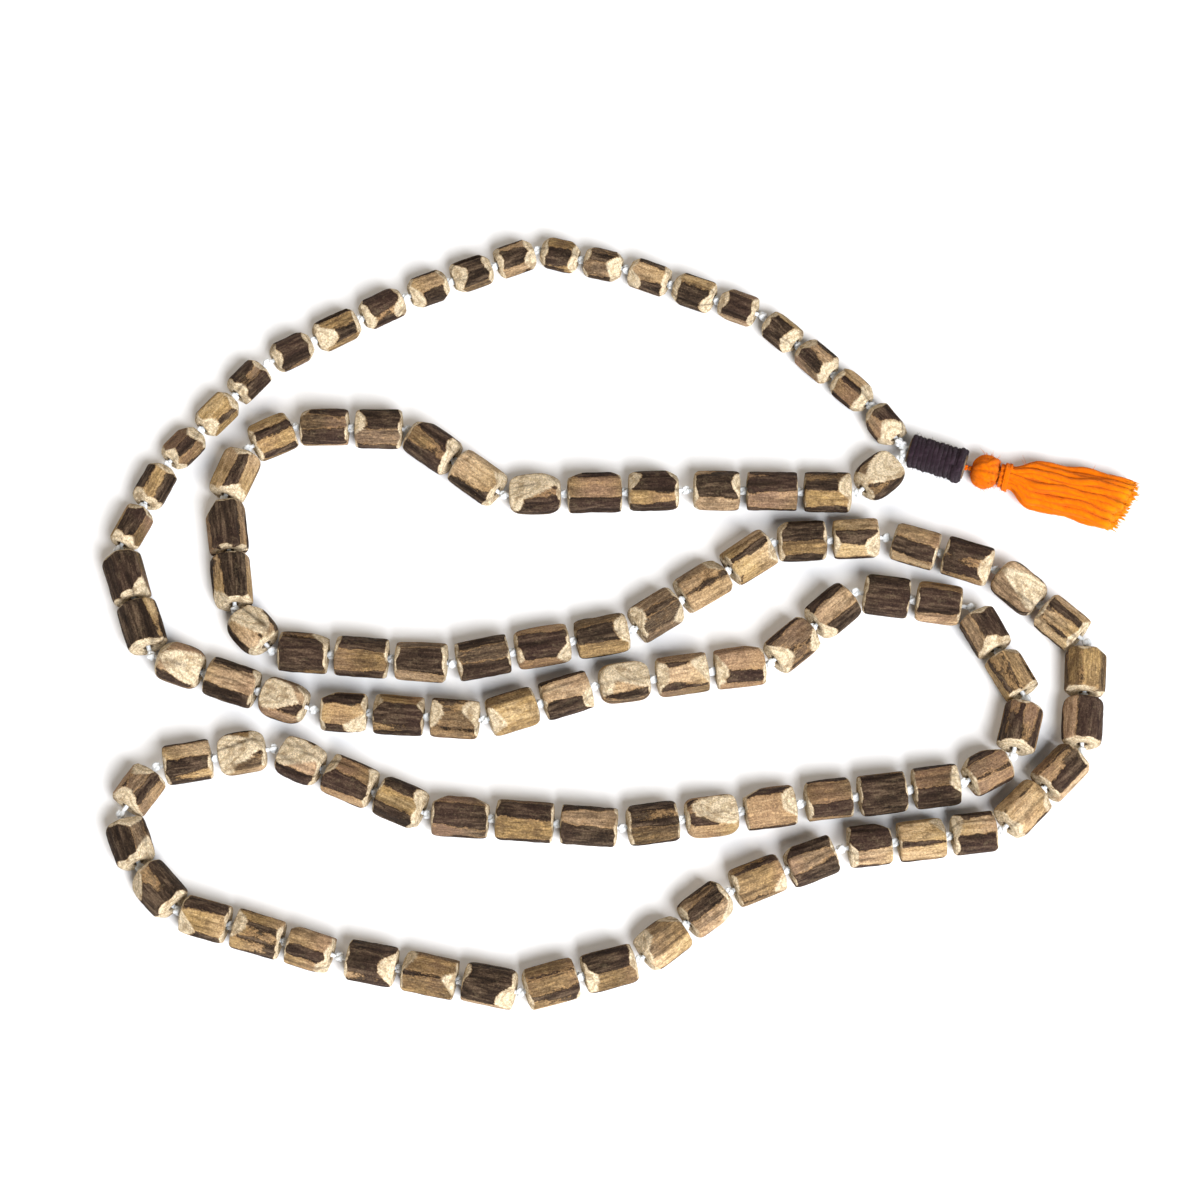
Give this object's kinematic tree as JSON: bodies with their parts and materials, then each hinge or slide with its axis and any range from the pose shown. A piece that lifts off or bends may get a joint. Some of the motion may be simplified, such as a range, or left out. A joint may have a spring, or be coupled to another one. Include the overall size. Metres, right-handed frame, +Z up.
{
  "type": "mala prayer beads",
  "caption": "Loop of whittled wooden prayer beads on a thread knotted between every bead, closed by a thread-wound guru bead and a wool tassel, laid flat in loose bends.",
  "frame": {"origin": "under the middle of the laid-out strand, on the surface it lies on", "axes": "+Z up from the surface; +X along the strand's longest extent, towards the tassel; +Y towards the arc of small beads"},
  "size_m": [0.1926, 0.1532, 0.008],
  "materials": {
    "bead_wood": "whittled, bark left in stripes",
    "cotton_thread": "matte twisted cotton",
    "guru_wood": "plain turned core",
    "guru_thread": "close winding, slight sheen",
    "tassel_wool": "fuzzy plied wool",
    "tassel_tie": "bound wool yarn"
  },
  "bodies": {
    "strand": {"thread_main": "cotton_thread"},
    "guru_end": {"thread_guru_end": "cotton_thread", "guru_core": "guru_wood", "guru_winding": "guru_thread"},
    "left_lobe": {"thread_left_lobe": "cotton_thread"},
    "right_lobe": {"thread_right_lobe": "cotton_thread"},
    "lower_lobe": {"thread_lower_lobe": "cotton_thread"},
    "tassel_knot": {"tassel_knot": "tassel_tie"},
    "tassel": {"tassel_head": "tassel_wool", "tassel_tie": "tassel_tie", "tassel_skirt": "tassel_wool"},
    "bead_001": {"bead_001": "bead_wood"},
    "beads_002_004": {"beads_002_004": "bead_wood"},
    "beads_005_007": {"beads_005_007": "bead_wood"},
    "beads_008_009": {"beads_008_009": "bead_wood"},
    "beads_010_012": {"beads_010_012": "bead_wood"},
    "beads_013_015": {"beads_013_015": "bead_wood"},
    "beads_016_018": {"beads_016_018": "bead_wood"},
    "beads_019_020": {"beads_019_020": "bead_wood"},
    "beads_021_022": {"beads_021_022": "bead_wood"},
    "beads_023_025": {"beads_023_025": "bead_wood"},
    "beads_026_028": {"beads_026_028": "bead_wood"},
    "beads_029_030": {"beads_029_030": "bead_wood"},
    "beads_031_033": {"beads_031_033": "bead_wood"},
    "beads_034_035": {"beads_034_035": "bead_wood"},
    "beads_036_037": {"beads_036_037": "bead_wood"},
    "beads_038_039": {"beads_038_039": "bead_wood"},
    "bead_040": {"bead_040": "bead_wood"},
    "bead_041": {"bead_041": "bead_wood"},
    "beads_042_044": {"beads_042_044": "bead_wood"},
    "beads_045_047": {"beads_045_047": "bead_wood"},
    "beads_048_050": {"beads_048_050": "bead_wood"},
    "beads_051_053": {"beads_051_053": "bead_wood"},
    "beads_054_055": {"beads_054_055": "bead_wood"},
    "bead_056": {"bead_056": "bead_wood"},
    "bead_057": {"bead_057": "bead_wood"},
    "bead_058": {"bead_058": "bead_wood"},
    "beads_059_061": {"beads_059_061": "bead_wood"},
    "beads_062_064": {"beads_062_064": "bead_wood"},
    "beads_065_066": {"beads_065_066": "bead_wood"},
    "beads_067_068": {"beads_067_068": "bead_wood"},
    "beads_069_070": {"beads_069_070": "bead_wood"},
    "beads_071_073": {"beads_071_073": "bead_wood"},
    "beads_074_075": {"beads_074_075": "bead_wood"},
    "beads_076_077": {"beads_076_077": "bead_wood"},
    "beads_078_079": {"beads_078_079": "bead_wood"},
    "beads_080_081": {"beads_080_081": "bead_wood"},
    "beads_082_083": {"beads_082_083": "bead_wood"},
    "beads_084_086": {"beads_084_086": "bead_wood"},
    "beads_087_089": {"beads_087_089": "bead_wood"},
    "beads_090_092": {"beads_090_092": "bead_wood"},
    "bead_093": {"bead_093": "bead_wood"},
    "beads_094_095": {"beads_094_095": "bead_wood"},
    "bead_096": {"bead_096": "bead_wood"},
    "bead_097": {"bead_097": "bead_wood"},
    "beads_098_099": {"beads_098_099": "bead_wood"},
    "beads_100_101": {"beads_100_101": "bead_wood"},
    "beads_102_104": {"beads_102_104": "bead_wood"},
    "beads_105_107": {"beads_105_107": "bead_wood"},
    "bead_108": {"bead_108": "bead_wood"}
  },
  "joints": [
    {"name": "fold_guru_end", "type": "hinge", "parent": "strand", "child": "guru_end", "pos_m": [0.02, 0.04175, 0.00345], "axis": [-0.3801, -0.9248, 0.0177], "range_deg": [0, 30]},
    {"name": "fold_left_lobe", "type": "hinge", "parent": "strand", "child": "left_lobe", "pos_m": [-0.061, 0.015, 0.00345], "axis": [-0.1552, 0.9878, -0.0099], "range_deg": [0, 30]},
    {"name": "fold_right_lobe", "type": "hinge", "parent": "strand", "child": "right_lobe", "pos_m": [0.0445, -0.01625, 0.0038], "axis": [-0.1631, -0.9866, 0], "range_deg": [0, 30]},
    {"name": "fold_lower_lobe", "type": "hinge", "parent": "strand", "child": "lower_lobe", "pos_m": [-0.056, -0.047, 0.0038], "axis": [-0.3162, 0.9487, 0], "range_deg": [0, 25]},
    {"name": "tassel_swing", "type": "hinge", "parent": "guru_end", "child": "tassel_knot", "pos_m": [0.06478, 0.02829, 0.0035], "axis": [0, 0, 1], "range_deg": [-20, 20]},
    {"name": "tassel_tilt", "type": "hinge", "parent": "tassel_knot", "child": "tassel", "pos_m": [0.06478, 0.02829, 0.0035], "axis": [-0.2588, -0.9659, 0], "range_deg": [0, 20]},
    {"name": "turn_bead_001", "type": "hinge", "parent": "guru_end", "child": "bead_001", "pos_m": [0.05, 0.03725, 0.0033], "axis": [-0.5542, 0.8312, -0.0443], "continuous": true},
    {"name": "turn_beads_002_004", "type": "hinge", "parent": "guru_end", "child": "beads_002_004", "pos_m": [0.0375, 0.0505, 0.0031], "axis": [-0.725, 0.6887, 0], "continuous": true},
    {"name": "turn_beads_005_007", "type": "hinge", "parent": "strand", "child": "beads_005_007", "pos_m": [0.0145, 0.065, 0.0031], "axis": [-0.9333, 0.359, 0], "continuous": true},
    {"name": "turn_beads_008_009", "type": "hinge", "parent": "strand", "child": "beads_008_009", "pos_m": [-0.007, 0.072, 0.0031], "axis": [-0.9734, 0.229, 0], "continuous": true},
    {"name": "turn_beads_010_012", "type": "hinge", "parent": "strand", "child": "beads_010_012", "pos_m": [-0.028, 0.069, 0.0031], "axis": [-0.9285, -0.3714, 0], "continuous": true},
    {"name": "turn_beads_013_015", "type": "hinge", "parent": "strand", "child": "beads_013_015", "pos_m": [-0.0535, 0.057, 0.0031], "axis": [-0.8805, -0.4741, 0], "continuous": true},
    {"name": "turn_beads_016_018", "type": "hinge", "parent": "left_lobe", "child": "beads_016_018", "pos_m": [-0.0755, 0.0395, 0.0031], "axis": [-0.6508, -0.7593, 0], "continuous": true},
    {"name": "turn_beads_019_020", "type": "hinge", "parent": "left_lobe", "child": "beads_019_020", "pos_m": [-0.0885, 0.02025, 0.00345], "axis": [-0.4155, -0.9089, 0.0364], "continuous": true},
    {"name": "turn_beads_021_022", "type": "hinge", "parent": "left_lobe", "child": "beads_021_022", "pos_m": [-0.089, 0.001, 0.0038], "axis": [0.3162, -0.9487, 0], "continuous": true},
    {"name": "turn_beads_023_025", "type": "hinge", "parent": "left_lobe", "child": "beads_023_025", "pos_m": [-0.0705, -0.01475, 0.0038], "axis": [0.9439, -0.3304, 0], "continuous": true},
    {"name": "turn_beads_026_028", "type": "hinge", "parent": "strand", "child": "beads_026_028", "pos_m": [-0.04, -0.021, 0.0038], "axis": [0.9979, -0.0644, 0], "continuous": true},
    {"name": "turn_beads_029_030", "type": "hinge", "parent": "strand", "child": "beads_029_030", "pos_m": [-0.0145, -0.01875, 0.0038], "axis": [0.951, 0.3091, 0], "continuous": true},
    {"name": "turn_beads_031_033", "type": "hinge", "parent": "strand", "child": "beads_031_033", "pos_m": [0.0115, -0.01325, 0.0038], "axis": [0.9903, 0.1393, 0], "continuous": true},
    {"name": "turn_beads_034_035", "type": "hinge", "parent": "strand", "child": "beads_034_035", "pos_m": [0.0355, -0.004, 0.0038], "axis": [0.7526, 0.6585, 0], "continuous": true},
    {"name": "turn_beads_036_037", "type": "hinge", "parent": "strand", "child": "beads_036_037", "pos_m": [0.054, 0.0015, 0.0038], "axis": [0.9899, -0.1414, 0], "continuous": true},
    {"name": "turn_beads_038_039", "type": "hinge", "parent": "strand", "child": "beads_038_039", "pos_m": [0.06925, -0.009, 0.0038], "axis": [0.4668, -0.8844, 0], "continuous": true},
    {"name": "turn_bead_040", "type": "hinge", "parent": "strand", "child": "bead_040", "pos_m": [0.0725, -0.0235, 0.0038], "axis": [-0.2631, -0.9648, 0], "continuous": true},
    {"name": "turn_bead_041", "type": "hinge", "parent": "strand", "child": "bead_041", "pos_m": [0.0665, -0.0315, 0.0038], "axis": [-0.8742, -0.4856, 0], "continuous": true},
    {"name": "turn_beads_042_044", "type": "hinge", "parent": "strand", "child": "beads_042_044", "pos_m": [0.04725, -0.036, 0.0038], "axis": [-0.9909, -0.1344, 0], "continuous": true},
    {"name": "turn_beads_045_047", "type": "hinge", "parent": "strand", "child": "beads_045_047", "pos_m": [0.0165, -0.04025, 0.0038], "axis": [-0.9903, -0.1393, 0], "continuous": true},
    {"name": "turn_beads_048_050", "type": "hinge", "parent": "strand", "child": "beads_048_050", "pos_m": [-0.017, -0.04125, 0.0038], "axis": [-0.9975, 0.0712, 0], "continuous": true},
    {"name": "turn_beads_051_053", "type": "hinge", "parent": "strand", "child": "beads_051_053", "pos_m": [-0.0485, -0.03375, 0.0038], "axis": [-0.9131, 0.4077, 0], "continuous": true},
    {"name": "turn_beads_054_055", "type": "hinge", "parent": "lower_lobe", "child": "beads_054_055", "pos_m": [-0.073, -0.02925, 0.0038], "axis": [-0.9864, -0.1644, 0], "continuous": true},
    {"name": "turn_bead_056", "type": "hinge", "parent": "lower_lobe", "child": "bead_056", "pos_m": [-0.0865, -0.0355, 0.0038], "axis": [-0.5547, -0.8321, 0], "continuous": true},
    {"name": "turn_bead_057", "type": "hinge", "parent": "lower_lobe", "child": "bead_057", "pos_m": [-0.0875, -0.045, 0.0038], "axis": [0.3714, -0.9285, 0], "continuous": true},
    {"name": "turn_bead_058", "type": "hinge", "parent": "lower_lobe", "child": "bead_058", "pos_m": [-0.082, -0.054, 0.0038], "axis": [0.6585, -0.7526, 0], "continuous": true},
    {"name": "turn_beads_059_061", "type": "hinge", "parent": "lower_lobe", "child": "beads_059_061", "pos_m": [-0.064, -0.06225, 0.0038], "axis": [0.9596, -0.2813, 0], "continuous": true},
    {"name": "turn_beads_062_064", "type": "hinge", "parent": "strand", "child": "beads_062_064", "pos_m": [-0.0335, -0.06975, 0.0038], "axis": [0.98, -0.1991, 0], "continuous": true},
    {"name": "turn_beads_065_066", "type": "hinge", "parent": "strand", "child": "beads_065_066", "pos_m": [-0.007, -0.07, 0.0038], "axis": [0.9615, 0.2747, 0], "continuous": true},
    {"name": "turn_beads_067_068", "type": "hinge", "parent": "strand", "child": "beads_067_068", "pos_m": [0.0115, -0.06075, 0.0038], "axis": [0.788, 0.6156, 0], "continuous": true},
    {"name": "turn_beads_069_070", "type": "hinge", "parent": "strand", "child": "beads_069_070", "pos_m": [0.0295, -0.0505, 0.0038], "axis": [0.9285, 0.3714, 0], "continuous": true},
    {"name": "turn_beads_071_073", "type": "hinge", "parent": "right_lobe", "child": "beads_071_073", "pos_m": [0.054, -0.04475, 0.0038], "axis": [0.9928, 0.1198, 0], "continuous": true},
    {"name": "turn_beads_074_075", "type": "hinge", "parent": "right_lobe", "child": "beads_074_075", "pos_m": [0.076, -0.0355, 0.0038], "axis": [0.7071, 0.7071, 0], "continuous": true},
    {"name": "turn_beads_076_077", "type": "hinge", "parent": "right_lobe", "child": "beads_076_077", "pos_m": [0.0845, -0.0175, 0.0038], "axis": [0.0948, 0.9955, 0], "continuous": true},
    {"name": "turn_beads_078_079", "type": "hinge", "parent": "right_lobe", "child": "beads_078_079", "pos_m": [0.0775, 0.00025, 0.0038], "axis": [-0.741, 0.6715, 0], "continuous": true},
    {"name": "turn_beads_080_081", "type": "hinge", "parent": "right_lobe", "child": "beads_080_081", "pos_m": [0.0595, 0.01075, 0.0038], "axis": [-0.951, 0.3091, 0], "continuous": true},
    {"name": "turn_beads_082_083", "type": "hinge", "parent": "strand", "child": "beads_082_083", "pos_m": [0.039, 0.0135, 0.0038], "axis": [-0.9989, -0.0476, 0], "continuous": true},
    {"name": "turn_beads_084_086", "type": "hinge", "parent": "strand", "child": "beads_084_086", "pos_m": [0.0155, 0.00425, 0.0038], "axis": [-0.8296, -0.5584, 0], "continuous": true},
    {"name": "turn_beads_087_089", "type": "hinge", "parent": "strand", "child": "beads_087_089", "pos_m": [-0.014, -0.00775, 0.0038], "axis": [-0.9811, -0.1933, 0], "continuous": true},
    {"name": "turn_beads_090_092", "type": "hinge", "parent": "strand", "child": "beads_090_092", "pos_m": [-0.047, -0.00975, 0.0038], "axis": [-0.9971, 0.0755, 0], "continuous": true},
    {"name": "turn_bead_093", "type": "hinge", "parent": "strand", "child": "bead_093", "pos_m": [-0.067, -0.0045, 0.0038], "axis": [-0.6585, 0.7526, 0], "continuous": true},
    {"name": "turn_beads_094_095", "type": "hinge", "parent": "strand", "child": "beads_094_095", "pos_m": [-0.072, 0.0105, 0.0038], "axis": [-0.1351, 0.9908, 0], "continuous": true},
    {"name": "turn_bead_096", "type": "hinge", "parent": "strand", "child": "bead_096", "pos_m": [-0.0715, 0.02675, 0.0038], "axis": [0.356, 0.9345, 0], "continuous": true},
    {"name": "turn_bead_097", "type": "hinge", "parent": "strand", "child": "bead_097", "pos_m": [-0.065, 0.03425, 0.0038], "axis": [0.8944, 0.4472, 0], "continuous": true},
    {"name": "turn_beads_098_099", "type": "hinge", "parent": "strand", "child": "beads_098_099", "pos_m": [-0.05, 0.03625, 0.0038], "axis": [0.9997, -0.0238, 0], "continuous": true},
    {"name": "turn_beads_100_101", "type": "hinge", "parent": "strand", "child": "beads_100_101", "pos_m": [-0.0305, 0.02925, 0.0038], "axis": [0.8, -0.6, 0], "continuous": true},
    {"name": "turn_beads_102_104", "type": "hinge", "parent": "strand", "child": "beads_102_104", "pos_m": [-0.0045, 0.023, 0.0038], "axis": [0.9996, 0.0294, 0], "continuous": true},
    {"name": "turn_beads_105_107", "type": "hinge", "parent": "guru_end", "child": "beads_105_107", "pos_m": [0.0285, 0.02325, 0.0038], "axis": [0.9999, -0.0156, 0], "continuous": true},
    {"name": "turn_bead_108", "type": "hinge", "parent": "guru_end", "child": "bead_108", "pos_m": [0.0485, 0.0265, 0.00365], "axis": [0.7523, 0.6582, -0.0282], "continuous": true}
  ]
}
